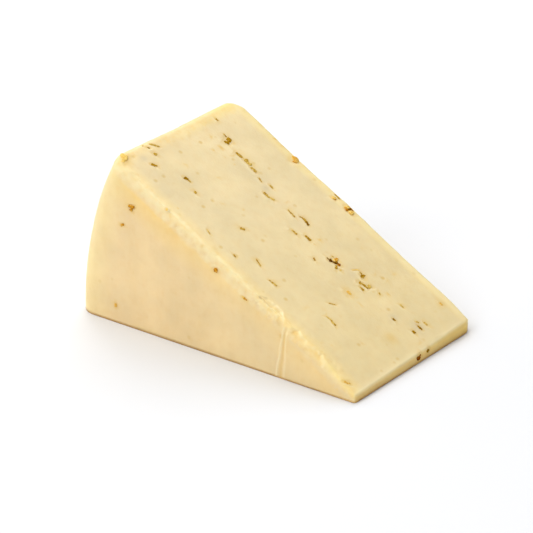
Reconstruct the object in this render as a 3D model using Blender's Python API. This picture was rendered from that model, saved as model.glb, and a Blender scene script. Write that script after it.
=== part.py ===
"""A wedge of semi-soft herb cheese, cut from a small round wheel.

The wedge lies on one of its two cut faces. +X runs from the rim of the
wheel to the tip, the wheel's two flat sides face -Y and +Y, and the other
cut face slopes from the top of the rim down to the tip. The origin is on
the base, in the middle of the bounding box. Units are metres.
"""

import math

import bmesh
import bpy
from mathutils import Vector, noise

# The wheel and the cut
WHEEL_RADIUS = 0.125
WHEEL_THICKNESS = 0.069
SECTOR = math.radians(29.16)
TIP_HEIGHT = 0.0044

# How far each edge is rounded
SHOULDER = 0.0065
CUT_EDGE = 0.0033
CUT_EDGE_AT_TIP = 0.0017
CUT_EDGE_RAGGED = 0.0013
RIM_EDGE = 0.0022
BASE_EDGE = 0.0008
TIP_EDGE = 0.0014
TIP_FRONT_EDGE = 0.0010
TIP_BACK_EDGE = 0.0036

# Unevenness of the faces, and the crease in the -Y side
SWELL = 0.00030
SWELL_LENGTH = 0.026
CREASE_X = 0.0297
CREASE_STEP = 0.0004
CREASE_WIDTH = 0.0010

# Herbs and seeds stand this far out of the face they lie in
SEED_PROUD = 0.0004
SEED_WIDTH = 0.0013

# The larger herbs on the sloping cut: distance from the wheel's axis,
# place across the thickness, length (mm), and turn in the face (degrees)
CUT_HERBS = (
    (122.0, -13.6, 3.3, 48), (123.2, -18.8, 2.5, 43), (115.1, -21.6, 2.2, 39),
    (104.2, -15.0, 2.7, 21), (111.2, 14.5, 4.2, -15), (104.1, 12.9, 2.8, 5),
    (99.8, 13.1, 3.0, 1), (96.1, 12.0, 2.0, 7), (84.8, 7.6, 4.0, 16),
    (75.2, 9.1, 3.4, -5), (70.3, 11.4, 4.2, 0), (68.1, 3.0, 3.1, 4),
    (64.2, 6.0, 2.1, 3), (51.5, 5.3, 5.0, 3), (42.4, 11.6, 2.3, -11),
    (39.0, 8.3, 4.1, 23), (39.8, -0.3, 2.5, -2), (65.2, -20.7, 2.3, -14),
    (56.2, -23.1, 3.0, 2), (78.9, -14.2, 1.7, 30), (39.3, -10.3, 2.2, 45),
    (34.2, -17.1, 4.2, 3), (25.7, 13.5, 1.7, -16), (22.9, 5.9, 1.8, 10),
    (15.9, 12.3, 2.3, 7), (13.4, -30.4, 2.6, 40),
)
# Seeds on the rounded edges of the sloping cut, and on the flat side at -Y:
# for each, its distance from the axis, its place across, length and width
EDGE_SEEDS = (
    (121.4, -30.2, 2.6, 2.2), (92.2, 32.4, 2.5, 1.9),
    (66.3, 32.5, 2.9, 2.2), (73.0, 32.6, 2.0, 1.2),
)
# Height above the base and place along X of the seeds in the -Y side, mm
SIDE_SEEDS = ((45.1, -33.3), (38.0, -37.8), (31.9, 1.8), (25.1, 13.9), (6.6, -41.7))
# Seeds in the same manner for the +Y side and the rim, by a steady rule
HIDDEN_SEEDS = 5

TIP_RADIUS = TIP_HEIGHT / math.tan(SECTOR)
AXIS_X = (WHEEL_RADIUS + TIP_RADIUS) / 2.0
HALF = WHEEL_THICKNESS / 2.0
CUT_NORMAL = Vector((math.sin(SECTOR), 0.0, math.cos(SECTOR)))


def graded(total, near_start, near_end, step):
    """Distances from 0 to total, with the given close ones at both ends."""
    first = near_start[-1]
    last = total - near_end[-1]
    count = max(1, round((last - first) / step))
    middle = [first + (last - first) * i / count for i in range(1, count)]
    return list(near_start) + middle + [total - d for d in reversed(near_end)]


def polar(co):
    """Distance from the wheel's axis and angle above the base."""
    return math.hypot(co.x - AXIS_X, co.z), math.atan2(co.z, AXIS_X - co.x)


def rounded(depth_a, depth_b, radius):
    """Depth under two faces whose common edge is rounded."""
    over = math.hypot(max(radius - depth_a, 0.0), max(radius - depth_b, 0.0))
    return max(radius, min(depth_a, depth_b)) - over


def wavy(value, length, seed):
    """Smooth unevenness between about -1 and 1 along a line."""
    return noise.noise(Vector((value / length, seed, 0.37 * seed)))


def swell(co, seed):
    """Slow unevenness of a face, fading out where it meets the base."""
    fade = min(1.0, max(co.z, 0.0) / 0.006)
    return SWELL * fade * noise.noise(co / SWELL_LENGTH + Vector((seed, 1.7, 9.1)))


def crease(co):
    """A shallow upright groove, beyond which the side stands a little proud."""
    beyond = (co.x - CREASE_X - 0.055 * co.z) / CREASE_WIDTH
    past_tip = max(0.0, min(1.0, (AXIS_X - TIP_RADIUS - co.x) / 0.012))
    step = (0.5 + 0.5 * math.tanh(beyond)) * past_tip
    return CREASE_STEP * (step - 0.9 * math.exp(-beyond * beyond))


def depth_inside(co):
    """How far a point lies under the skin of the finished wedge."""
    radius = polar(co)[0]
    rim = WHEEL_RADIUS - radius
    flat = HALF - abs(co.y) + swell(co, 4.2)
    if co.y < 0.0:
        flat += crease(co)
    side = rounded(rim + swell(co, 7.7), flat, SHOULDER)
    cut = -(co - Vector((AXIS_X, 0.0, 0.0))).dot(CUT_NORMAL) + swell(co, 2.1)
    tip = AXIS_X - TIP_RADIUS - co.x

    # The edge between the cut and the flat sides is ragged, most of all at -Y
    ragged = CUT_EDGE_RAGGED if co.y < 0.0 else 0.4 * CUT_EDGE_RAGGED
    uneven = wavy(radius, 0.011, 3.0) + 0.7 * wavy(radius, 0.0045, 8.0)
    on_rim = max(0.0, min(1.0, (flat - rim) / SHOULDER * 0.5 + 0.5))
    worn = max(0.0, min(1.0, (radius - 0.020) / 0.040))
    cut_edge = CUT_EDGE_AT_TIP + (CUT_EDGE - CUT_EDGE_AT_TIP) * worn + ragged * uneven
    cut_edge += (RIM_EDGE - cut_edge) * on_rim
    tip_edge = TIP_FRONT_EDGE if co.y < 0.0 else TIP_BACK_EDGE
    past_tip = max(0.0, min(1.0, tip / 0.009))
    edge = tip_edge + (cut_edge - tip_edge) * past_tip * past_tip * (3.0 - 2.0 * past_tip)
    body = rounded(rounded(cut, tip, TIP_EDGE), side, edge)
    return rounded(body, co.z, BASE_EDGE)


def skin(co):
    """The nearest point on the skin of the wedge, and its outward normal."""
    point, reach = Vector(co), 2e-5
    for _ in range(6):
        slope = Vector()
        for i in range(3):
            near, far = point.copy(), point.copy()
            near[i] -= reach
            far[i] += reach
            slope[i] = (depth_inside(far) - depth_inside(near)) / (2.0 * reach)
        length = max(slope.length, 0.2)
        depth = depth_inside(point)
        if abs(depth) < 1e-8:
            break
        point -= slope * (depth / (length * length))
    return point, -slope.normalized()


def build_sector():
    """Spin the gridded cross-section of the wheel through the sector."""
    bm = bmesh.new()
    length = WHEEL_RADIUS - TIP_RADIUS
    mm = 0.001
    close_rim = [0.0, 0.8 * mm, 1.7 * mm, 3.0 * mm, 4.6 * mm, 6.5 * mm]
    close_tip = [0.0, 0.5 * mm, 1.1 * mm, 2.0 * mm, 4.0 * mm]
    close_side = [0.0, 0.7 * mm, 1.5 * mm, 2.6 * mm, 4.2 * mm, 6.5 * mm]
    inward = graded(length, close_rim, close_tip, 3.9 * mm)
    across = graded(WHEEL_THICKNESS, close_side, close_side, 4.2 * mm)

    grid = []
    for depth in inward:
        row = []
        for place in across:
            radius, y = WHEEL_RADIUS - depth, place - HALF
            core_r = min(radius, WHEEL_RADIUS - SHOULDER)
            core_y = max(-(HALF - SHOULDER), min(HALF - SHOULDER, y))
            over = Vector((radius - core_r, y - core_y))
            if over.x > 0.0 and abs(over.y) > 0.0:
                over = over.normalized() * max(over.x, abs(over.y))
            place_x = AXIS_X - core_r - over.x
            row.append(bm.verts.new((place_x, core_y + over.y, 0.0)))
        grid.append(row)
    for row, following in zip(grid, grid[1:]):
        for i in range(len(across) - 1):
            bm.faces.new((row[i], row[i + 1], following[i + 1], following[i]))

    rim_height = WHEEL_RADIUS * math.sin(SECTOR)
    close_base = [0.0, 0.8 * mm, 2.4 * mm]
    close_cut = [0.0, 0.9 * mm, 1.9 * mm, 3.4 * mm]
    heights = graded(rim_height, close_base, close_cut, 4.6 * mm)
    bmesh.ops.spin(
        bm, geom=bm.faces[:], cent=(AXIS_X, 0.0, 0.0), axis=(0.0, 1.0, 0.0),
        angle=SECTOR, steps=len(heights) - 1, use_duplicate=False,
    )
    bmesh.ops.remove_doubles(bm, verts=bm.verts[:], dist=1e-7)
    bmesh.ops.recalc_face_normals(bm, faces=bm.faces[:])

    # Space the turns of the spin as listed, and cut the tip off upright
    for vert in bm.verts:
        radius, angle = polar(vert.co)
        index = round(angle / SECTOR * (len(heights) - 1))
        angle = SECTOR * heights[index] / rim_height
        share = (WHEEL_RADIUS - radius) / length
        radius += share * TIP_RADIUS * (1.0 / math.cos(angle) - 1.0)
        vert.co = (AXIS_X - radius * math.cos(angle), vert.co.y, radius * math.sin(angle))
    for vert in bm.verts:
        resting = vert.co.z < 1e-6
        vert.co = skin(vert.co)[0]
        if resting and vert.co.z < 1e-5:
            vert.co.z = 0.0
    bmesh.ops.triangulate(bm, faces=bm.faces[:])
    return bm


def seed_mesh(name, place, heading, length, width):
    """An oval seed lying in the skin, sunk until little of it stands out."""
    bm = bmesh.new()
    bmesh.ops.create_icosphere(bm, subdivisions=1, radius=0.5)
    place, normal = skin(place)
    side = normal.cross(heading).normalized()
    along = side.cross(normal)
    thick = 0.75 * width
    centre = place + normal * (SEED_PROUD - thick / 2.0)
    for vert in bm.verts:
        x, y, z = vert.co
        vert.co = centre + along * (x * length) + side * (y * width) + normal * (z * thick)
    mesh = bpy.data.meshes.new(name)
    bm.to_mesh(mesh)
    bm.free()
    return bpy.data.objects.new(name, mesh)


def on_cut(radius, across):
    """A point on the sloping cut face."""
    return Vector((AXIS_X - radius * math.cos(SECTOR), across, radius * math.sin(SECTOR)))


def all_seeds():
    """Every seed as (place, heading, length, width)."""
    mm = 0.001
    downhill = Vector((math.cos(SECTOR), 0.0, -math.sin(SECTOR)))
    sideways = Vector((0.0, 1.0, 0.0))
    forward = Vector((1.0, 0.0, 0.0))
    seeds = []
    for radius, across, length, turn in CUT_HERBS:
        turn = math.radians(turn)
        heading = downhill * math.cos(turn) + sideways * math.sin(turn)
        seeds.append((on_cut(radius * mm, across * mm), heading, length * mm, SEED_WIDTH))
    for radius, across, length, width in EDGE_SEEDS:
        seeds.append((on_cut(radius * mm, across * mm), downhill, length * mm, width * mm))
    for height, x in SIDE_SEEDS:
        place = Vector((x * mm, -HALF, height * mm))
        seeds.append((place, forward, 2.2 * mm, SEED_WIDTH))
    for i in range(HIDDEN_SEEDS):
        share = (i + 0.5) / HIDDEN_SEEDS
        drift = (i * 0.618) % 1.0
        height = 0.004 + (0.25 + 0.5 * drift) * (1.0 - share) * 0.055
        place = Vector((-0.048 + 0.088 * share, HALF, height))
        seeds.append((place, forward, 2.4 * mm, SEED_WIDTH))
        angle = SECTOR * (0.15 + 0.7 * ((drift + 0.3) % 1.0))
        outward = Vector((-math.cos(angle), 0.0, math.sin(angle)))
        place = Vector((AXIS_X, (share - 0.5) * 0.05, 0.0)) + outward * WHEEL_RADIUS
        seeds.append((place, sideways, 2.4 * mm, SEED_WIDTH))
    tall = Vector((-0.1, 0.25, 1.0)).normalized()
    place = Vector((AXIS_X - TIP_RADIUS, 0.0034, 0.0024))
    seeds.append((place, tall, 2.8 * mm, 1.7 * mm))
    return seeds


def cheese_material():
    mat = bpy.data.materials.new("cheese")
    mat.use_nodes = True
    shader = mat.node_tree.nodes["Principled BSDF"]
    shader.inputs["Base Color"].default_value = (0.83, 0.65, 0.35, 1.0)
    shader.inputs["Roughness"].default_value = 0.5
    shader.inputs["Metallic"].default_value = 0.0
    mat.diffuse_color = (0.83, 0.65, 0.35, 1.0)
    return mat


for old in list(bpy.data.objects):
    bpy.data.objects.remove(old, do_unlink=True)

sector = build_sector()
mesh = bpy.data.meshes.new("cheese")
sector.to_mesh(mesh)
sector.free()
cheese = bpy.data.objects.new("cheese", mesh)
bpy.context.scene.collection.objects.link(cheese)

# One union joins every seed to the cheese, and the loose seeds are removed
seeds = bpy.data.collections.new("seeds")
bpy.context.scene.collection.children.link(seeds)
for number, seed in enumerate(all_seeds()):
    seeds.objects.link(seed_mesh("seed_%02d" % number, *seed))
union = cheese.modifiers.new("seeds", "BOOLEAN")
union.operation = "UNION"
union.operand_type = "COLLECTION"
union.collection = seeds
union.solver = "EXACT"
bpy.context.view_layer.update()
depsgraph = bpy.context.evaluated_depsgraph_get()
joined = bpy.data.meshes.new_from_object(cheese.evaluated_get(depsgraph))
cheese.modifiers.clear()
cheese.data = joined
cheese.data.name = "cheese"
for seed in list(seeds.objects):
    bpy.data.objects.remove(seed, do_unlink=True)
bpy.data.collections.remove(seeds)

# Bring the origin to the middle of the base of the finished shape
xs = [v.co.x for v in joined.vertices]
ys = [v.co.y for v in joined.vertices]
shift = Vector(((min(xs) + max(xs)) / 2.0, (min(ys) + max(ys)) / 2.0, 0.0))
for vert in joined.vertices:
    vert.co = vert.co - shift

joined.materials.clear()
joined.materials.append(cheese_material())
joined.shade_smooth()
joined.set_sharp_from_angle(angle=math.radians(40.0))
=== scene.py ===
"""A wedge of pale herb cheese on a white table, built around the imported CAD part."""

import math
from collections import namedtuple

import bmesh
import bpy
import numpy as np
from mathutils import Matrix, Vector, noise


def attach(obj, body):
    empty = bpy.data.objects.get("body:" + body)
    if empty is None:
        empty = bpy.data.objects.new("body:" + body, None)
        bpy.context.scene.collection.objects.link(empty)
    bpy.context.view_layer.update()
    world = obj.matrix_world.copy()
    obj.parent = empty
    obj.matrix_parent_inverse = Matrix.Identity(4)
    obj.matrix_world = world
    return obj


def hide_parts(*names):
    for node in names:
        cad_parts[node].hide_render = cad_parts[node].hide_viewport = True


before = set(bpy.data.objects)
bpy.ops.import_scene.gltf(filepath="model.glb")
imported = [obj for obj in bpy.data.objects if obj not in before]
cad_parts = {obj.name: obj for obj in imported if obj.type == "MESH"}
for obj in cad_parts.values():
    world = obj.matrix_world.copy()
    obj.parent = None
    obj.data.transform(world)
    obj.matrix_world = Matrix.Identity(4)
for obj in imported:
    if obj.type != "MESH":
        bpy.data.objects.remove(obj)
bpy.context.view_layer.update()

# The cheese. A twelfth of a small round wheel of pale, semi-soft paste, cut with a wire on two sides
# and trimmed at the tip. The wheel's cross-section is spun through the sector, worked finer where
# there is something to see, and carried onto the rounded skin of the wedge.
MM = 0.001
WHEEL_RADIUS = 125 * MM
HALF = 34.5 * MM
SECTOR = math.radians(29.16)
TIP_HEIGHT = 4.4 * MM
TIP_RADIUS = TIP_HEIGHT / math.tan(SECTOR)
AXIS_X = (WHEEL_RADIUS + TIP_RADIUS) / 2.0

# How far each edge is rounded
SHOULDER = 6.5 * MM
RIM_EDGE = 2.2 * MM
BACK_EDGE = 3.1 * MM
TIP_EDGE = 0.5 * MM
TIP_FRONT_EDGE = 1.0 * MM
TIP_BACK_EDGE = 4.8 * MM
BASE_EDGE = 0.25 * MM


def smooth_step(value, low, high):
    """0 up to the low value, 1 from the high one on, and a smooth rise between them."""
    share = np.clip((value - low) / (high - low), 0.0, 1.0)
    return share * share * (3.0 - 2.0 * share)


def fade(value, low, high):
    """1 up to the low value, and a smooth fall to 0 at the high one."""
    return 1.0 - smooth_step(value, low, high)


def hump(distance, width):
    """1 at no distance, and a smooth fall to about a third at the width."""
    return np.exp(-((distance / width) ** 2))


def between(measure, *stations):
    """Values at each measure, read between stations of a measure and its value."""
    places, values = zip(*stations)
    return np.interp(measure, places, values)


def unevenness(points, length, seed):
    """Smooth noise between about -1 and 1 at each point, with bumps of a length in mm."""
    shift = Vector((seed, 1.7, 9.1))
    scale = 1.0 / (length * MM)
    return np.array([noise.noise(Vector(p) * scale + shift) for p in points])


def rounded(depth_a, depth_b, reach_a, reach_b, power=2.0):
    """Depth under two faces whose common edge is rounded, or bevelled at a low power."""
    scale = np.sqrt(reach_a * reach_b)
    u, v = depth_a / reach_a, depth_b / reach_b
    over = np.maximum(1.0 - u, 0.0) ** power + np.maximum(1.0 - v, 0.0) ** power
    return (np.maximum(1.0, np.minimum(u, v)) - over ** (1.0 / power)) * scale


def face_depths(p):
    """Distance from the wheel's axis, and depth under rim, flat side, cut, tip and base."""
    radius = np.hypot(p[:, 0] - AXIS_X, p[:, 2])
    # Near the tip the cut leans down towards -Y, so the trimmed tip is lower there
    lean = (0.6 - 0.9 * p[:, 1] / HALF) * MM * fade(radius, 6.0 * MM, 30.0 * MM)
    cut = -((p[:, 0] - AXIS_X) * math.sin(SECTOR) + p[:, 2] * math.cos(SECTOR)) - lean
    return radius, WHEEL_RADIUS - radius, HALF - np.abs(p[:, 1]), cut, AXIS_X - TIP_RADIUS - p[:, 0], p[:, 2]


def face_depths_mm(p):
    return [depth / MM for depth in face_depths(p)]


def worn_in(radius):
    """How far the wear of the cut's edge at -Y reaches into the cut; all in mm."""
    return between(radius, (10, 0.9), (22, 1.4), (34, 1.9), (60, 1.5), (90, 1.1), (118, 1.5))


def worn_down(radius):
    """How far that wear reaches down the flat side; all in mm."""
    return between(radius, (10, 1.4), (30, 2.2), (45, 3.6), (62, 5.0), (95, 4.6), (118, 3.6))


def depth_inside(p):
    """Depth of each point under the smooth skin of the wedge."""
    radius, rim, flat, cut, tip, base = face_depths(p)
    front = p[:, 1] < 0.0
    side = rounded(rim, flat, SHOULDER, SHOULDER)
    on_rim = np.clip((flat - rim) / SHOULDER * 0.5 + 0.5, 0.0, 1.0)
    at_tip = np.where(front, TIP_FRONT_EDGE, TIP_BACK_EDGE)
    past_tip = smooth_step(tip, 0.0, 9.0 * MM)
    reaches = []
    for worn in (worn_in, worn_down):
        reach = np.where(front, worn(radius / MM) * MM, BACK_EDGE)
        reach += (RIM_EDGE - reach) * on_rim
        reaches.append(at_tip + (reach - at_tip) * past_tip)
    inward, downward = reaches
    bevelled = 2.0 - 0.6 * np.where(front, past_tip * (1.0 - on_rim), 0.0)
    body = rounded(rounded(cut, tip, TIP_EDGE, TIP_EDGE), side, downward, inward, bevelled)
    return rounded(body, base, BASE_EDGE, BASE_EDGE)


def settle(points):
    """Carry points onto the smooth skin; give their outward normals too."""
    p = points.copy()
    reach = 2e-6
    for _ in range(6):
        depth = depth_inside(p)
        slope = np.zeros_like(p)
        for axis in range(3):
            step = np.zeros(3)
            step[axis] = reach
            slope[:, axis] = (depth_inside(p + step) - depth_inside(p - step)) / (2.0 * reach)
        length = np.maximum(np.linalg.norm(slope, axis=1), 0.2)
        p -= slope * (depth / length**2)[:, None]
    return p, -slope / length[:, None]


def slow_swells(p):
    """Slow swells of the faces, in mm, fading out at the base."""
    return 0.30 * np.clip(p[:, 2] / (6.0 * MM), 0.0, 1.0) * unevenness(p, 26.0, 4.2)


# The places of the herbs and seeds, which the skin has pits for. Each is a stroke: both ends and
# width (mm), and darkness from 0 to 1. On the cut an end is its distance from the axis and its place
# across; on the flat side at -Y its place along X and its height; on the tip its place across and height.
herbs_on_cut = (
    (113.9, 14.8, 112.2, 14.5, 0.6, 0.5), (111.9, 14.1, 109.8, 14.4, 2.3, 0.62),
    (111.4, 12.4, 109.2, 12.8, 1.45, 0.55), (105.5, 12.2, 102.5, 12.4, 1.35, 0.42),
    (102.9, 12.4, 100.8, 12.6, 0.45, 0.1), (101.5, 12.4, 98.3, 12.9, 1.75, 0.32),
    (97.9, 11.8, 95.1, 11.9, 1.2, 0.28), (92.9, 10.6, 90.8, 10, 0.56, 0.29),
    (88.6, 11.8, 86.8, 11.7, 0.8, 0.4), (87.2, 6.9, 85.3, 6.7, 0.98, 0.43),
    (85.5, 6.7, 82.5, 7.7, 0.8, 0.2), (77.3, 9, 75.2, 8.9, 0.85, 0.33),
    (75.4, 8.9, 73.5, 8.7, 0.74, 0.42), (72.9, 10.5, 71.8, 11.3, 0.44, 0.38),
    (71.9, 11.3, 69.8, 10.9, 0.9, 0.4), (70.3, 11, 68.3, 10.5, 1.1, 0.85),
    (65.9, 5.5, 63, 5.2, 1.15, 0.72), (79.7, -14.9, 78.1, -14, 1.1, 0.4), (70, 2.5, 67.5, 2.8, 1.0, 0.35),
    (57.2, -0.2, 55.9, -0.7, 0.71, 0.64), (54.9, 4.7, 53.3, 4.6, 0.5, 0.9),
    (53.7, 4.6, 52.4, 5.2, 1.6, 1), (52.6, 5.1, 51.3, 5.9, 1.0, 1), (52.0, 6.0, 50.8, 5.8, 1.9, 0.95),
    (50.7, 5.3, 49.4, 3.7, 0.9, 0.42), (48.7, 4.7, 48.0, 5.0, 0.9, 0.2),
    (54.6, 7.1, 53.7, 7.3, 0.4, 0.32), (44.2, 11.2, 43, 10.8, 0.7, 0.46),
    (43.2, 10.7, 41.6, 10.2, 2.05, 0.55), (41.4, 7, 40.4, 7.3, 1.7, 0.55),
    (40.9, 7.3, 37.6, 7.9, 0.95, 0.5), (38.5, 8.4, 37.6, 9.7, 1.6, 0.3),
    (39.7, 5.6, 37.7, 5.4, 0.9, 0.36), (40.2, -11.6, 38.5, -9.9, 0.42, 0.39),
    (36.8, -17.4, 34.6, -17, 0.5, 0.15), (34.8, -17, 32.1, -17.6, 0.85, 0.28),
    (66.9, -20.7, 63.8, -21.8, 0.62, 0.36), (58.1, -23.9, 57.3, -23.5, 0.52, 0.52),
    (57.2, -23.5, 54.7, -23.4, 0.85, 0.34), (72.4, -26.9, 71, -27.1, 0.72, 0.46),
    (34.5, 10.1, 33.3, 9.7, 0.7, 0.15), (26.9, 13, 25.1, 13.1, 0.52, 0.35),
    (24, 5.3, 22.7, 5.4, 0.8, 0.6), (18.8, 12.3, 17.8, 13.1, 0.58, 0.41),
    (17.2, 11.6, 15, 11.7, 0.95, 0.62), (16.7, 7.9, 15.2, 7.9, 1.05, 0.5),
    (17.1, 15, 15.4, 15.1, 0.71, 0.36), (123.6, -18.9, 121.4, -17.3, 0.75, 0.6),
    (123.0, -15.8, 120.3, -13.2, 0.8, 0.34), (119.1, -18, 117.8, -17.1, 1.3, 0.5),
    (115.8, -22.8, 114.1, -21.2, 1.15, 0.55), (106.0, -15.8, 104.3, -15.2, 1.3, 0.85),
    (104.4, -15.3, 103.1, -15.1, 0.8, 0.4), (99.8, -17.3, 98.4, -17.2, 1.1, 0.3),
    (84.9, -27, 82.7, -27.7, 0.45, 0.18), (120.5, 17.8, 119.3, 17.9, 0.73, 0.47),
    (74.0, 32.3, 71.3, 32.0, 0.8, 0.45), (66.5, 31.3, 65.7, 31.1, 1.1, 1.0),
)
seeds_on_cut = (
    (41, -0.8, 38.6, -0.9, 1.7, 0.36), (14.5, -34.1, 12.3, -32.0, 0.85, 0.4),
    (53.4, 6.6, 51.7, 7.3, 1.8, 0.36), (51.0, 6.0, 49.8, 6.5, 1.5, 0.62),
    (46.3, 9.2, 45.5, 10.9, 0.4, 0.0), (45.7, 10.9, 44.6, 11.6, 0.4, 0.0),
    (93.0, 30.4, 92.2, 33.2, 3.1, 0.42), (92.6, 29.7, 91.6, 30.2, 0.7, 0.5),
    (73.3, 29.8, 71.9, 30.4, 1.1, 0.2), (67.6, 32.7, 64.8, 32.2, 0.95, 0.95),
    (67.8, 31.2, 66.6, 30.5, 2.0, 0.15), (66.8, 30.2, 66.0, 29.9, 1.0, 0.55),
    (65.7, 30.4, 63.8, 30.5, 1.6, 0.18), (19.9, 27.9, 18.6, 27.9, 0.71, 0.25),
    (122.8, -28.4, 121.8, -31, 2.5, 0.1), (121.7, -30.8, 121, -31.8, 0.9, -0.25),
    (98.6, -35, 98, -33.7, 0.69, 0.05), (103.8, 31.9, 102.9, 32, 0.4, -0.3),
    (99.8, 32.3, 99, 32.5, 0.4, -0.3),
)
herbs_on_side = ((-33.6, 44.8, -33.1, 45.2, 0.8, 0.6),)
seeds_on_side = (
    (-34.9, 45.3, -32.4, 45.5, 1.0, 0.42), (-34, 44.8, -33.3, 43.8, 1.1, 0.45),
    (-38.6, 37.5, -37.1, 37.8, 0.95, 0.42), (0.9, 31.9, 2.4, 31.9, 1.36, 0.41),
    (12.4, 25.2, 14.6, 24.5, 0.62, 0.25), (-41.7, 5.9, -41.8, 7.2, 1.1, 0.27),
)
herbs_on_tip = ((7.7, 3.2, 7, 2, 1.4, 0.62),)
seeds_on_tip = ((2.8, 3.9, 2.3, 2.5, 1.4, 0.8), (2.3, 2.7, 1.8, 1.1, 2.5, 0.86))
# Spots under the skin that only tint it: distance from the axis, place across, size (mm), strength
golden_spots = (
    (115.0, 9.2, 1.1, 0.7), (109.4, 8.6, 1.2, 0.9), (110.1, 4.9, 1.0, 0.8), (108.9, 4.6, 0.7, 0.7),
    (104.7, 9.5, 0.6, 0.5), (101.5, 6.9, 0.8, 0.4), (105.6, 6.3, 0.7, 0.4), (100.1, -4.0, 0.9, 0.4),
    (84.9, -7.1, 0.8, 0.5), (109.6, -10.4, 1.4, 0.4), (36.4, 17.6, 0.9, 0.4), (29.3, 21.9, 0.9, 0.4),
    (36.9, 0.4, 0.8, 0.4), (34.1, -0.9, 0.8, 0.4), (43.0, -21.0, 1.2, 0.25), (27.0, -26.0, 1.2, 0.35),
    (22.1, -14.6, 1.0, 0.45), (18.4, -2.6, 4.6, 0.42), (37.3, 22.6, 1.6, 0.4), (61.7, 9.0, 1.2, 0.8),
    (61.3, 5.3, 0.9, 0.5), (77.6, 3.2, 0.8, 0.4), (32.3, 12.8, 0.7, 0.8), (120.0, 14.0, 3.0, 0.15),
    (119.8, -6.0, 1.6, 0.15), (119.3, -2.0, 1.6, 0.2), (119.0, 1.5, 1.6, 0.2), (118.6, 5.5, 1.6, 0.15),
    (118.2, 10.0, 1.8, 0.2), (36.9, 0.3, 1.0, 0.35), (35.6, 8.4, 1.0, 0.3), (40.6, 15.6, 1.2, 0.25),
    (51.4, 21.0, 1.4, 0.15), (45.9, 10.4, 1.2, 0.3), (13.0, -32.6, 3.6, 0.6), (10.4, -33.6, 3.0, 0.5),
    (19.3, 27.8, 3.0, 0.6), (121.4, -31.2, 5.0, 0.55), (92.3, 31.0, 4.8, 0.45), (66.0, 31.2, 4.5, 0.4),
    (11.5, 6.0, 1.1, 0.55), (103.6, 31.6, 1.8, 0.3), (99.5, 32.0, 1.8, 0.35), (114.5, -31.3, 1.4, 0.25),
    (112.0, -32.4, 1.2, 0.25), (101.7, -33.6, 1.6, 0.3), (98.1, -33.9, 1.0, 0.35),
    (96.7, -29.3, 0.9, 0.45), (40.6, 15.6, 0.9, 0.35), (90.5, -11.9, 0.9, 0.35), (79.8, 11.5, 0.8, 0.4),
    (29.5, -28.7, 1.0, 0.2),
)
grey_spots = (
    (70.5, 8.0, 9.0, 0.21), (80.0, 8.5, 8.0, 0.15), (91.0, 12.0, 6.0, 0.17), (112.5, -26.0, 9.0, 0.21),
    (107.0, -27.0, 8.0, 0.21), (103.5, -26.0, 6.0, 0.17), (118.7, -17.4, 7.0, 0.17),
    (45.0, 7.5, 4.0, 0.3), (104.8, -15.6, 5.2, 0.32), (119.0, -23.3, 3.2, 0.5), (16.6, 11.2, 4.8, 0.75),
    (88.2, 9.3, 3.2, 0.55), (111.0, 14.0, 3.6, 0.4), (53.0, 4.6, 4.5, 0.24), (24.0, 6.0, 3.8, 0.58),
    (46.5, 8.6, 4.4, 0.24), (100.5, 9.0, 5.0, 0.17), (80.0, -2.0, 9.0, 0.08),
)


def on_cut(radius, across):
    r = radius * MM
    return (AXIS_X - r * math.cos(SECTOR), across * MM, r * math.sin(SECTOR))


def on_side(along, height):
    return (along * MM, -HALF, height * MM)


def on_tip(across, height):
    return (AXIS_X - TIP_RADIUS, across * MM, height * MM)


Stroke = namedtuple("Stroke", "start end width dark kind seen")
strokes = []
for rows, face, kind in (
    (herbs_on_cut, on_cut, "herb"), (seeds_on_cut, on_cut, "seed"),
    (herbs_on_side, on_side, "herb"), (seeds_on_side, on_side, "seed"),
    (herbs_on_tip, on_tip, "herb"), (seeds_on_tip, on_tip, "seed"),
):
    for a1, b1, a2, b2, width, dark in rows:
        strokes.append(Stroke(face(a1, b1), face(a2, b2), width * MM, dark, kind, True))

# The same herbs, by rule, in the faces that the photograph doesn't show
rng = np.random.default_rng(29)
for face, how_many in (("base", 26), ("back", 14), ("rim", 14)):
    for _ in range(how_many):
        turn = rng.uniform(-0.9, 0.9)
        if face == "base":
            radius = rng.uniform(16, 116) * MM
            across = float(np.clip(rng.normal(4, 14), -30, 30)) * MM
            place = (AXIS_X - radius, across, 0.0)
            heading = (math.cos(turn), math.sin(turn), 0.0)
        elif face == "back":
            share = rng.uniform(0.05, 0.85) ** 1.3
            x = -HALF * 1.45 + share * 90 * MM
            place = (x, HALF, rng.uniform(0.1, 0.85) * (AXIS_X - x) * math.tan(SECTOR))
            heading = (math.cos(turn), 0.0, math.sin(turn))
        else:
            angle = SECTOR * rng.uniform(0.1, 0.9)
            across = rng.uniform(-26, 26) * MM
            place = (AXIS_X - WHEEL_RADIUS * math.cos(angle), across, WHEEL_RADIUS * math.sin(angle))
            heading = (0.0, math.cos(turn), math.sin(turn))
        half = np.array(heading) * rng.uniform(0.5, 1.5) * MM
        kind = "herb" if rng.random() < 0.7 else "seed"
        width = rng.uniform(0.6, 1.3) * MM
        dark = rng.uniform(0.2, 0.9)
        strokes.append(Stroke(tuple(place - half), tuple(place + half), width, dark, kind, False))

starts, start_normals = settle(np.array([s.start for s in strokes]))
ends, end_normals = settle(np.array([s.end for s in strokes]))
starts += start_normals * slow_swells(starts)[:, None] * MM
ends += end_normals * slow_swells(ends)[:, None] * MM
stroke_normals = start_normals + end_normals
stroke_normals /= np.linalg.norm(stroke_normals, axis=1)[:, None]


def stroke_distance(p, number):
    """Distance of each point from a stroke."""
    along = ends[number] - starts[number]
    share = np.clip((p - starts[number]) @ along / max(along @ along, 1e-12), 0.0, 1.0)
    return np.linalg.norm(p - starts[number] - share[:, None] * along, axis=1)


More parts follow.
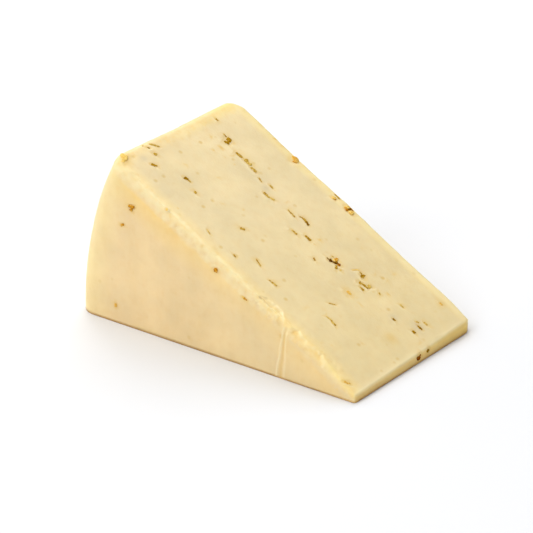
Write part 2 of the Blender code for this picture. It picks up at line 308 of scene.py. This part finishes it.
# The solid is spun from the wheel's gridded cross-section, and its tip is then set upright
bm = bmesh.new()
bmesh.ops.create_grid(bm, x_segments=60, y_segments=36, size=0.5)
for vert in bm.verts:
    inward, across = vert.co.x + 0.5, vert.co.y * 2.0 * HALF
    vert.co = (AXIS_X - WHEEL_RADIUS + inward * (WHEEL_RADIUS - TIP_RADIUS), across, 0.0)
bmesh.ops.spin(
    bm, geom=bm.faces[:], cent=(AXIS_X, 0.0, 0.0), axis=(0.0, 1.0, 0.0),
    angle=SECTOR, steps=24, use_duplicate=False,
)
bmesh.ops.remove_doubles(bm, verts=bm.verts[:], dist=1e-7)
bmesh.ops.recalc_face_normals(bm, faces=bm.faces[:])
for vert in bm.verts:
    radius = math.hypot(vert.co.x - AXIS_X, vert.co.z)
    angle = math.atan2(vert.co.z, AXIS_X - vert.co.x)
    share = (WHEEL_RADIUS - radius) / (WHEEL_RADIUS - TIP_RADIUS)
    radius += share * TIP_RADIUS * (1.0 / math.cos(angle) - 1.0)
    vert.co = (AXIS_X - radius * math.cos(angle), vert.co.y, radius * math.sin(angle))
skin, _ = settle(np.array([v.co for v in bm.verts]))
for vert, co in zip(bm.verts, skin):
    vert.co = co

# A shallow crease crosses the flat side at -Y near the tip, leaning a little
CREASE_X = 28.35 * MM
CREASE_LEAN = 0.105


def past_crease(p):
    """How far each point lies from the crease towards the tip, in mm."""
    return (p[:, 0] - CREASE_X - CREASE_LEAN * p[:, 2]) / MM


def wanted_edge(p):
    """Longest edge, in mm, that each place on the skin may have.

    The base and the far side need few faces; the torn edge, the crease, the tip, the rounded
    edges, the spots and the herbs need more.
    """
    radius, rim, flat, cut, tip, base = face_depths_mm(p)
    front = p[:, 1] < 0.0
    wanted = np.full(len(p), 1.5)
    wanted[base < 0.3] = 4.0
    wanted[~front & (flat < 0.5)] = 2.2
    torn = front & (flat < 6.0) & (cut < 5.0)
    wanted[torn] = np.where(radius[torn] < 66, 0.3, 0.45)
    wanted[torn & ((flat > 3.6) | (cut > 4.0)) & (radius > 60)] = 0.9
    wanted[(np.abs(past_crease(p)) < 3.0) & front & (flat < 0.6) & (base > 0.4)] = 0.35
    wanted[(tip < 0.6) & (base > 0.3)] = 0.8
    wanted[(tip < 1.0) & (cut < 1.0)] = 0.4
    edge = (cut < 2.5) & (np.minimum(rim, flat) < 4.0) & (base > 0.5)
    wanted[edge] = np.minimum(wanted[edge], 0.8)
    for r, across, size, _ in golden_spots + grey_spots:
        near = np.linalg.norm(p - on_cut(r, across), axis=1) < (0.7 * size + 0.3) * MM
        wanted[near] = np.minimum(wanted[near], max(0.3, 0.2 * size))
    for number, stroke in enumerate(strokes):
        near = stroke_distance(p, number) < 0.5 * stroke.width + 0.8 * MM
        wanted[near] = np.minimum(wanted[near], 0.24 if stroke.seen else 0.4)
    return wanted


for _ in range(6):
    bm.edges.ensure_lookup_table()
    points = np.array([v.co for v in bm.verts])
    pairs = np.array([[v.index for v in e.verts] for e in bm.edges])
    middles = (points[pairs[:, 0]] + points[pairs[:, 1]]) / 2.0
    lengths = np.linalg.norm(points[pairs[:, 0]] - points[pairs[:, 1]], axis=1)
    too_long = np.nonzero(lengths > 1.4 * wanted_edge(middles) * MM)[0]
    if len(too_long) == 0:
        break
    bmesh.ops.subdivide_edges(bm, edges=[bm.edges[i] for i in too_long], cuts=1, use_grid_fill=True)
    bm.verts.index_update()
bmesh.ops.triangulate(bm, faces=[f for f in bm.faces if len(f.verts) > 4])

cheese_mesh = bpy.data.meshes.new("cheese_wedge")
bm.to_mesh(cheese_mesh)
bm.free()
count = len(cheese_mesh.vertices)
flat_co = np.zeros(count * 3)
cheese_mesh.vertices.foreach_get("co", flat_co)
skin, normals = settle(flat_co.reshape(-1, 3))

# Relief along the normal: slow swells, a fine unevenness, and long shallow marks of the wire down the
# cut. From here to the finished surface, depths, lengths and relief are in mm.
radius, rim, flat, cut, tip, base = face_depths_mm(skin)
front = skin[:, 1] < 0.0
swells = slow_swells(skin)
above_base = np.clip(base, 0.0, 1.0)
relief = swells + 0.05 * above_base * (unevenness(skin, 4.5, 2.0) + unevenness(skin, 2.0, 17.0))
on_cut_face = smooth_step(-cut, -0.5, 0.0) * smooth_step(flat, 2.0, 6.0)
relief += 0.025 * on_cut_face * unevenness(skin * (0.12, 1.0, 0.12), 2.2, 6.0)

# The worn edge at -Y is torn: its outline on the cut is scalloped, the torn part lies lower than the
# cut and is wrinkled, and a thin crest follows the outline, paler partly as dry paste and partly as a
# painted highlight
outline = between(
    radius, (5, 0.4), (18, 0.3), (23, 0.6), (26, 2.2), (29, 2.0), (32, 1.2), (34, 1.9), (37, 2.7),
    (40, 1.0), (42, 0.5), (44, 2.2), (46, 3.7), (49, 4.5), (53, 3.8), (56, 1.4), (60, 1.5), (69, 1.6),
    (78, 2.6), (83, 1.7), (93, 2.4), (101, 2.6), (107, 2.2), (119, 3.2),
)
for size, length, seed in ((0.4, 4.0, 3.0), (0.55, 1.7, 5.0), (0.2, 0.8, 6.0)):
    outline += size * unevenness(skin * (1.0, 0.3, 1.0), length, seed)
inside = outline - flat
roughly = between(radius, (8, 0.3), (20, 0.5), (26, 1.0), (58, 1.0), (75, 0.7), (125, 0.55))
down_side = np.where(front, fade(cut, 1.6, 4.2), 0.0)
torn = down_side * smooth_step(inside, -0.2, 0.5)
crest = down_side * hump(inside - 0.35, 0.5)
crest *= np.clip(0.7 + between(radius, (38, 0.5), (45, 1.2)) * unevenness(skin, 2.0, 12.0), 0.0, 1.2)
crest *= 1.0 - 0.9 * hump(radius - 43, 1.3)
hollow = torn * hump(inside - 1.6, 0.9) * np.clip(0.6 + 1.2 * unevenness(skin, 3.2, 13.0), 0.0, 1.2)
wrinkles = unevenness(np.stack((radius / 2.6, flat - outline, cut), axis=1) * MM, 0.9, 8.0)
wrinkles += 0.4 * unevenness(skin, 0.9, 9.0) + 0.7 * unevenness(skin, 2.2, 20.0)
wrinkles *= between(radius, (36, 0.25), (44, 0.68))
relief += above_base * roughly * (0.12 * crest + torn * (0.25 * wrinkles - 0.18 * hollow - 0.28))
worn_edge = hump(cut, 1.6) * fade(np.minimum(rim, flat), 3.0, 6.0)
relief += 0.12 * above_base * worn_edge * (unevenness(skin, 3.4, 18.0) + 0.5 * unevenness(skin, 1.4, 19.0))

# The crease has a lip on each side, and past it the side stands a little proud
beyond = past_crease(skin) + 0.25 * unevenness(skin, 5.0, 16.0)
gap = 0.75 + 0.05 * np.clip(16.0 - base, 0.0, 14.0)
on_front = np.where(front, smooth_step(cut, 0.5, 2.5), 0.0) * smooth_step(base, 0.3, 1.2)
past = smooth_step(tip, 2.0, 12.0)
crease = 0.38 * past * (0.5 + 0.5 * np.tanh((beyond - gap) / 0.35))
crease += 0.26 * hump(beyond + gap, 0.36) - 0.20 * hump(beyond, 0.55) - 0.22 * hump(beyond + gap + 1.1, 0.7)
relief += crease * on_front

# Where the paste is paler: on the bevel under the worn edge, on the crest (partly dry paste, partly a
# painted highlight), and as painted highlights on the crease's lips, the edge at +Y and the tip's ridge;
# where it is more golden: painted shade in the crease and the torn hollows
# Painted light: a paler band along the cut's edge at +Y, where that edge is lit from behind
along_back = smooth_step(flat, -0.5, 0.6) * fade(flat, 3.5, 5.5) * fade(cut, 0.5, 2.0)
ragged = 0.9 * unevenness(skin, 2.2, 21.0) + 0.6 * unevenness(skin, 0.9, 22.0)
bevel = fade((cut + ragged) / worn_down(radius), 0.5, 1.15) * smooth_step(radius, 42, 70)
bevel *= np.where(front, fade(flat + ragged, 1.2, 3.0), 0.0)
pale_paste_and_highlight = np.maximum.reduce((
    # The crest, paler partly as dry paste and partly as a painted highlight
    between(radius, (34, 0.38), (44, 0.68)) * crest * np.minimum(roughly, 0.9),
    # Painted highlights on the crease's two lips
    0.7 * on_front * hump(beyond + gap, 0.3),
    0.3 * on_front * hump(beyond - gap, 0.5),
    # Painted light along the edge at +Y
    between(radius, (40, 0.5), (90, 0.2)) * np.where(front, 0.0, along_back),
    (0.5 + 0.6 * unevenness(skin, 1.6, 15.0)) * bevel,
    # Painted highlight on the ridge of the tip
    between(skin[:, 1] / MM, (5, 0.6), (28, 0.35)) * hump(1.6 * cut + 0.8 * tip, 1.0),
))
golden_stain_and_shade = np.maximum.reduce((
    # Painted shade in the crease's groove
    0.35 * on_front * past * hump(beyond, 0.6 * gap),
    # Painted shade in the torn hollows below the crest
    0.30 * hollow * roughly,
    0.07 * on_front * past * smooth_step(beyond, gap, gap + 1.0),
))

# Pits under the herbs and seeds, in paste that is level round them, with a lip pushed up on the cut's side
# towards -Y that is painted paler as a highlight, and stains where oil and colour have gone into the paste
grey, lips, pits, level = np.zeros((4, count))
for number, stroke in enumerate(strokes):
    along = ends[number] - starts[number]
    near = np.linalg.norm(skin - starts[number], axis=1) < np.linalg.norm(along) + 4.0 * MM
    rest = stroke_distance(skin[near], number) / (0.5 * stroke.width + 0.25 * MM)
    pits[near] = np.maximum(pits[near], fade(rest, 0.6, 1.15))
    level[near] = np.maximum(level[near], fade(rest, 0.9, 1.6))
    golden_stain_and_shade[near] = np.maximum(golden_stain_and_shade[near], 0.35 * hump(np.maximum(rest - 0.8, 0.0), 0.5))
    if stroke_normals[number][2] > 0.5:
        across = np.cross(stroke_normals[number], along)
        across *= (-1.0 if across[1] > 0.0 else 1.0) / np.linalg.norm(across)
        aside = (skin[near] - starts[number]) @ across / stroke.width
        lips[near] = np.maximum(lips[near], hump(rest - 1.35, 0.3) * smooth_step(aside, 0.0, 0.5))
for rows, layer in ((golden_spots, golden_stain_and_shade), (grey_spots, grey)):
    for r, across, size, strength in rows:
        distance = np.linalg.norm(skin - on_cut(r, across), axis=1)
        layer[:] = np.maximum(layer, strength * hump(distance, 0.5 * size * MM))
lips *= 1.0 - pits
relief += (swells - relief) * level + 0.06 * lips * above_base - 0.04 * pits
# Painted highlight: the lips are paler
pale_paste_and_highlight = np.maximum(pale_paste_and_highlight, 0.6 * lips)

# Where the old outside of the wheel has stained the paste; then what the paste's colours are laid
# out by: depths under the faces, those stains and tints, and which face a place belongs to
near_rim = fade(rim, 4.0, 8.0) * fade(cut, 2.0, 8.0)
worn_band = np.where(front, fade(cut, 3.0, 6.0) * fade(flat, 2.0, 4.0), 0.0)
back_band = np.where(front, 0.0, fade(cut, 1.5, 4.0) * fade(flat, 2.5, 5.0))
on_back = smooth_step(cut, 2.0, 6.0) * smooth_step(base, 0.3, 1.2)
layers = {
    "rind": np.minimum(rim, flat),
    "outer": rim,
    "edge": cut,
    "golden_stain_and_shade": golden_stain_and_shade,
    "grey": grey,
    "pale_paste_and_highlight": pale_paste_and_highlight,
    "worn": torn * between(radius, (34, 0.45), (44, 1.0)),
    "on_side": fade(flat, 8.0, 30.0) * np.where(front, on_front, on_back),
    "trim": smooth_step(normals[:, 0], 0.75, 0.95) * smooth_step(-tip, -1.5, 0.0),
    "stained": np.maximum.reduce((near_rim, worn_band, back_band)),
    "foot": fade(np.minimum.reduce((flat, rim, tip)), 1.0, 4.0),
}
finished = skin + normals * relief[:, None] * MM
finished[:, 2] = np.maximum(finished[:, 2], 0.0)
cheese_mesh.vertices.foreach_set("co", finished.ravel())
cheese_mesh.update()
cheese_mesh.shade_smooth()
for name, values in layers.items():
    layer = cheese_mesh.attributes.new(name, "FLOAT", "POINT")
    layer.data.foreach_set("value", values.astype(np.float32))

cheese = bpy.data.objects.new("cheese_wedge", cheese_mesh)
bpy.context.scene.collection.objects.link(cheese)
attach(cheese, "root")
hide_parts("cheese")

# The paste. Pale cream yellow, slightly translucent and matt, warmer near the old outside of the
# wheel, paler where it is torn, with faint mottling and small specks of spice.
paste = bpy.data.materials.new("cheese_paste")
paste.use_nodes = True
nodes, links = paste.node_tree.nodes, paste.node_tree.links
shader = nodes["Principled BSDF"]
shader.inputs["Specular IOR Level"].default_value = 0.35
shader.inputs["Subsurface Weight"].default_value = 0.5
shader.inputs["Subsurface Radius"].default_value = (1.0, 0.92, 0.82)
shader.inputs["Subsurface Scale"].default_value = 0.0014
place = nodes.new("ShaderNodeTexCoord")
where = nodes.new("ShaderNodeSeparateXYZ")
links.new(place.outputs["Object"], where.inputs["Vector"])


def layer_of(name):
    node = nodes.new("ShaderNodeAttribute")
    node.attribute_name = name
    return node.outputs["Fac"]


def cloud(scale, detail, stretch=(1.0, 1.0, 1.0)):
    mapping = nodes.new("ShaderNodeMapping")
    mapping.inputs["Scale"].default_value = stretch
    node = nodes.new("ShaderNodeTexNoise")
    node.inputs["Scale"].default_value = scale
    node.inputs["Detail"].default_value = detail
    links.new(place.outputs["Object"], mapping.inputs["Vector"])
    links.new(mapping.outputs["Vector"], node.inputs["Vector"])
    return node.outputs["Fac"]


def ramp(value, from_low, from_high, to_low, to_high):
    node = nodes.new("ShaderNodeMapRange")
    for socket, number in zip(node.inputs[1:5], (from_low, from_high, to_low, to_high)):
        socket.default_value = number
    links.new(value, node.inputs["Value"])
    return node.outputs["Result"]


def maths(operation, first, second):
    node = nodes.new("ShaderNodeMath")
    node.operation = operation
    links.new(first, node.inputs[0])
    links.new(second, node.inputs[1])
    return node.outputs[0]


def blend(mode, share, first, second):
    """Mix two colours, each a plain one or a socket; the share is a socket or a number."""
    node = nodes.new("ShaderNodeMix")
    node.data_type = "RGBA"
    node.blend_type = mode
    for socket, value in ((node.inputs[0], share), (node.inputs[6], first), (node.inputs[7], second)):
        if isinstance(value, tuple):
            socket.default_value = (*value, 1.0)
        elif isinstance(value, float):
            socket.default_value = value
        else:
            links.new(value, socket)
    return node.outputs[2]


# The cut, its rind and the rim, by their place along and across the wedge
x, y, z = where.outputs["X"], where.outputs["Y"], where.outputs["Z"]
# The rind's colour, brighter and more saturated at +Y: partly rind tint and partly painted light where the
# edge at +Y is lit from behind
inner = blend("MIX", ramp(y, -0.01, 0.01, 0.0, 1.0), (0.97, 0.765, 0.37), (1.0, 0.79, 0.30))
colour = blend("MIX", ramp(layer_of("rind"), 1.0, 6.5, 1.0, 0.0), (0.85, 0.70, 0.402), inner)
rim_colour = blend("MIX", ramp(y, 0.016, 0.032, 0.0, 1.0), (0.83, 0.66, 0.345), (0.84, 0.65, 0.21))
colour = blend("MIX", ramp(layer_of("outer"), 0.5, 4.5, 1.0, 0.0), colour, rim_colour)
colour = blend("MULTIPLY", ramp(x, -0.01, 0.04, 0.0, 1.0), colour, (0.96, 0.95, 0.89))
colour = blend("MULTIPLY", ramp(x, -0.055, -0.025, 1.0, 0.0), colour, (1.05, 1.03, 1.02))

# The flat sides, more golden in a band below the worn edge and paler near the rim
side = blend("MIX", ramp(x, -0.02, 0.02, 0.0, 1.0), (0.87, 0.665, 0.36), (0.845, 0.665, 0.365))
band = maths("MULTIPLY", ramp(layer_of("edge"), 4.6, 13.0, 0.75, 0.0), ramp(x, -0.02, 0.01, 1.0, 0.4))
band = maths("MULTIPLY", ramp(layer_of("edge"), 2.8, 4.6, 0.0, 1.0), band)
side = blend("MIX", band, side, (0.97, 0.69, 0.245))
side = blend("MIX", ramp(layer_of("outer"), 3.0, 15.0, 0.85, 0.0), side, (0.94, 0.755, 0.372))
colour = blend("MIX", layer_of("on_side"), colour, side)

# The trimmed tip, a deeper golden partly as drier paste and partly as painted shade of the translucent tip
# facing away from the light, and with painted shade darker at its foot
trim = blend("MIX", ramp(y, 0.008, 0.032, 0.0, 1.0), (0.96, 0.685, 0.22), (0.97, 0.68, 0.17))
# Painted shade: darker towards the foot of the tip
trim = blend("MULTIPLY", ramp(z, 0.0002, 0.0027, 1.0, 0.0), trim, (0.78, 0.77, 0.76))
colour = blend("MIX", layer_of("trim"), colour, trim)

# Mottling, the worn edge, the foot that the light doesn't reach, and specks of spice
colour = blend("MULTIPLY", 1.0, colour, ramp(cloud(28.0, 2.0), 0.3, 0.7, 0.97, 1.03))
colour = blend("MULTIPLY", 1.0, colour, ramp(cloud(90.0, 3.0), 0.3, 0.7, 0.95, 1.04))
colour = blend("MULTIPLY", ramp(cloud(420.0, 4.0), 0.45, 0.75, 0.0, 0.5), colour, (0.97, 0.92, 0.84))
streaks = ramp(cloud(300.0, 2.0, (1.0, 1.0, 0.08)), 0.4, 0.8, 0.0, 0.5)
colour = blend("MULTIPLY", streaks, colour, (0.98, 0.95, 0.88))
worn = maths("MULTIPLY", ramp(cloud(900.0, 3.0), 0.4, 0.6, 0.0, 0.9), layer_of("worn"))
colour = blend("MIX", worn, colour, (0.92, 0.755, 0.405))
at_foot = maths("MULTIPLY", ramp(z, 0.0, 0.0011, 1.0, 0.0), layer_of("foot"))
colour = blend("MULTIPLY", at_foot, colour, (0.62, 0.38, 0.16))
specks = nodes.new("ShaderNodeTexVoronoi")
specks.inputs["Scale"].default_value = 210.0
links.new(place.outputs["Object"], specks.inputs["Vector"])
chosen = nodes.new("ShaderNodeSeparateColor")
links.new(specks.outputs["Color"], chosen.inputs["Color"])
fewer = maths("SUBTRACT", chosen.outputs["Red"], ramp(layer_of("on_side"), 0.0, 1.0, 0.0, 0.2))
speck = ramp(specks.outputs["Distance"], 0.07, 0.22, 0.8, 0.0)
speck = maths("MULTIPLY", speck, ramp(fewer, 0.5, 0.95, 0.0, 1.0))
colour = blend("MIX", speck, colour, (0.72, 0.50, 0.16))

# The stains, then the pale places and painted highlights, the grey places, and the golden stains and painted
# shade; last the sheen and the fine pits
stain = maths("MULTIPLY", ramp(cloud(430.0, 2.0), 0.52, 0.72, 0.0, 0.38), layer_of("stained"))
colour = blend("MIX", stain, colour, (0.90, 0.62, 0.20))
# Pale paste, with painted highlights on the crest, the crease's lips, the edge at +Y, the tip's ridge and
# the herbs' lips
colour = blend("MIX", layer_of("pale_paste_and_highlight"), colour, (0.955, 0.815, 0.50))
colour = blend("MIX", layer_of("grey"), colour, (0.66, 0.545, 0.35))
# Golden stains and tints, with painted shade in the crease and the torn hollows
colour = blend("MIX", layer_of("golden_stain_and_shade"), colour, (0.78, 0.50, 0.10))
links.new(colour, shader.inputs["Base Color"])
links.new(ramp(cloud(260.0, 3.0), 0.3, 0.7, 0.42, 0.55), shader.inputs["Roughness"])
bump = nodes.new("ShaderNodeBump")
bump.inputs["Strength"].default_value = 0.6
bump.inputs["Distance"].default_value = 0.00012
links.new(maths("SUBTRACT", cloud(1100.0, 5.0), speck), bump.inputs["Height"])
links.new(bump.outputs["Normal"], shader.inputs["Normal"])
cheese_mesh.materials.append(paste)

# The herbs and seeds. Cut flakes of dried leaf, dark olive to golden brown, and glossier golden and
# red-brown seeds, each of a few rough ovals pressed into its pit and sliced off flat by the wire.
# For each number of ovals: their places along the flake and their length, as shares of its half length
LOBES = {1: ((0.0,), 1.0), 2: ((-0.35, 0.35), 0.66), 3: ((-0.58, 0.0, 0.58), 0.45)}

grain = bpy.data.node_groups.new("dried_grain", "ShaderNodeTree")
grain.interface.new_socket(name="Scale", in_out="INPUT", socket_type="NodeSocketFloat")
grain.interface.new_socket(name="Change", in_out="OUTPUT", socket_type="NodeSocketFloat")
grain.interface.new_socket(name="Height", in_out="OUTPUT", socket_type="NodeSocketFloat")
grain_in, grain_out = grain.nodes.new("NodeGroupInput"), grain.nodes.new("NodeGroupOutput")
grain_place = grain.nodes.new("ShaderNodeTexCoord")
grain_noise = grain.nodes.new("ShaderNodeTexNoise")
grain_noise.inputs["Detail"].default_value = 4.0
grain_noise.inputs["Roughness"].default_value = 0.65
grain_spread = grain.nodes.new("ShaderNodeMapRange")
for socket, number in zip(grain_spread.inputs[1:5], (0.3, 0.7, -0.2, 0.2)):
    socket.default_value = number
grain.links.new(grain_place.outputs["Object"], grain_noise.inputs["Vector"])
grain.links.new(grain_in.outputs["Scale"], grain_noise.inputs["Scale"])
grain.links.new(grain_noise.outputs["Fac"], grain_spread.inputs["Value"])
grain.links.new(grain_spread.outputs["Result"], grain_out.inputs["Change"])
grain.links.new(grain_noise.outputs["Fac"], grain_out.inputs["Height"])


def add_flake(bm, darkness, number, stroke):
    """One herb or seed along its stroke; a large one on an edge stands out of the skin."""
    start, end = Vector(starts[number]), Vector(ends[number])
    normal = Vector(stroke_normals[number])
    along = (end - start) / 2.0
    across = normal.cross(along).normalized() * (stroke.width / 2.0)
    thick = max(0.45 * stroke.width, 0.3 * MM)
    stands_out = abs(start.y) > 28 * MM and stroke.width > 0.95 * MM and start.z > 1e-6
    lift = normal * (0.3 * MM if stands_out else 0.02 * MM)
    stubby = along.length < 0.8 * stroke.width
    shares, length = LOBES[1 if not stroke.seen else 2 if stubby else 3]
    shape = np.random.default_rng(number)
    for lobe, share in enumerate(shares):
        long = along * length
        wide = across * shape.uniform(0.8, 1.4)
        middle = (start + end) / 2.0 + along * share + across * shape.uniform(-0.3, 0.3)
        tone = stroke.dark + shape.uniform(-0.2, 0.15)
        seed = Vector((3.1 * number, 5.3 * lobe, 0.0))
        for vert in bmesh.ops.create_icosphere(bm, subdivisions=2, radius=1.0)["verts"]:
            x, y, z = vert.co
            rough = 1.0 + 0.35 * noise.noise(vert.co * 1.4 + seed) + 0.20 * noise.noise(vert.co * 3.0 + seed)
            height = (min(z, 0.3) - 0.3) * thick + 0.035 * MM * noise.noise(vert.co * 4.0 + seed)
            vert[darkness] = min(1.0, max(0.0, tone + 0.35 * noise.noise(vert.co * 1.1 + seed * 1.7)))
            vert.co = middle + long * (x * rough) + wide * (y * rough) + lift + normal * height


for kind, tones, roughness in (
    ("herb", ((0.0, (0.80, 0.57, 0.16)), (0.5, (0.47, 0.25, 0.012)), (1.0, (0.095, 0.027, 0.001))), 0.6),
    ("seed", ((0.0, (0.95, 0.68, 0.19)), (0.4, (0.66, 0.29, 0.018)), (1.0, (0.20, 0.028, 0.001))), 0.45),
):
    bm = bmesh.new()
    darkness = bm.verts.layers.float.new("dark")
    for number, stroke in enumerate(strokes):
        if stroke.kind == kind:
            add_flake(bm, darkness, number, stroke)
    mesh = bpy.data.meshes.new(kind + "s")
    bm.to_mesh(mesh)
    bm.free()
    mesh.shade_smooth()

    material = bpy.data.materials.new("dried_" + kind)
    material.use_nodes = True
    nodes, links = material.node_tree.nodes, material.node_tree.links
    shader = nodes["Principled BSDF"]
    shader.inputs["Specular IOR Level"].default_value = 0.0
    change = nodes.new("ShaderNodeGroup")
    change.node_tree = grain
    change.inputs["Scale"].default_value = 2200.0
    tone = nodes.new("ShaderNodeValToRGB")
    tone.color_ramp.elements.new(0.5)
    for element, (position, value) in zip(tone.color_ramp.elements, tones):
        element.position = position
        element.color = (*value, 1.0)
    links.new(maths("ADD", layer_of("dark"), change.outputs["Change"]), tone.inputs["Fac"])
    links.new(tone.outputs["Color"], shader.inputs["Base Color"])
    dull = ramp(change.outputs["Height"], 0.3, 0.7, roughness - 0.08, roughness + 0.12)
    links.new(dull, shader.inputs["Roughness"])
    bump = nodes.new("ShaderNodeBump")
    bump.inputs["Strength"].default_value = 0.7
    bump.inputs["Distance"].default_value = 0.00015
    links.new(change.outputs["Height"], bump.inputs["Height"])
    links.new(bump.outputs["Normal"], shader.inputs["Normal"])
    mesh.materials.append(material)

    piece = bpy.data.objects.new(kind + "s", mesh)
    bpy.context.scene.collection.objects.link(piece)
    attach(piece, "root")

# The table. A plain, matt white sheet, far larger than the picture shows, so
# that no edge of it is seen.
bm = bmesh.new()
bmesh.ops.create_grid(bm, x_segments=1, y_segments=1, size=3.0)
table_mesh = bpy.data.meshes.new("table")
bm.to_mesh(table_mesh)
bm.free()
white = bpy.data.materials.new("white_table")
white.use_nodes = True
white_shader = white.node_tree.nodes["Principled BSDF"]
white_shader.inputs["Base Color"].default_value = (0.78, 0.785, 0.80, 1.0)
white_shader.inputs["Roughness"].default_value = 0.9
white_shader.inputs["Specular IOR Level"].default_value = 0.0
table_mesh.materials.append(white)
table = bpy.data.objects.new("table", table_mesh)
bpy.context.scene.collection.objects.link(table)

# The camera stands where the photograph was taken from, a long way off, with
# a long lens.
azimuth, elevation = math.radians(37.02), math.radians(24.89)
distance, aside, above = 1.0639, -0.00265, 0.01809
back = Vector((
    math.sin(azimuth) * math.cos(elevation),
    -math.cos(azimuth) * math.cos(elevation),
    math.sin(elevation),
))
right = Vector((math.cos(azimuth), math.sin(azimuth), 0.0))
up = back.cross(right)
camera_data = bpy.data.cameras.new("camera")
camera_data.sensor_width = 36.0
camera_data.lens = 210.0
camera_data.clip_start = 0.05
camera = bpy.data.objects.new("camera", camera_data)
camera.location = right * aside + up * above + back * distance
camera.rotation_euler = back.to_track_quat("Z", "Y").to_euler()
bpy.context.scene.collection.objects.link(camera)
bpy.context.scene.camera = camera

# The light. A dim studio dome and four large soft lights: one overhead, one in
# front, one on the left and one behind, which leave the trimmed tip darker.
world = bpy.data.worlds.new("studio")
world.use_nodes = True
world.node_tree.nodes["Background"].inputs["Color"].default_value = (1.0, 1.0, 1.0, 1.0)
world.node_tree.nodes["Background"].inputs["Strength"].default_value = 0.275
bpy.context.scene.world = world
for name, place, size, energy in (
    ("softbox_top", Vector((0.0, 0.001, 2.4)), 2.0, 20.0),
    ("softbox_front", Vector((-0.38, -1.66, 1.70)), 1.6, 29.8),
    ("softbox_left", Vector((-2.2, -0.25, 1.2)), 1.6, 13.0),
    ("softbox_behind", Vector((-0.92, 1.24, 1.84)), 1.6, 28.0),
):
    softbox_data = bpy.data.lights.new(name, "AREA")
    softbox_data.shape = "SQUARE"
    softbox_data.size = size
    softbox_data.energy = energy
    softbox = bpy.data.objects.new(name, softbox_data)
    softbox.location = place
    softbox.rotation_euler = place.to_track_quat("Z", "Y").to_euler()
    bpy.context.scene.collection.objects.link(softbox)

scene = bpy.context.scene
scene.view_settings.view_transform = "Standard"
scene.view_settings.look = "None"

bpy.context.view_layer.update()
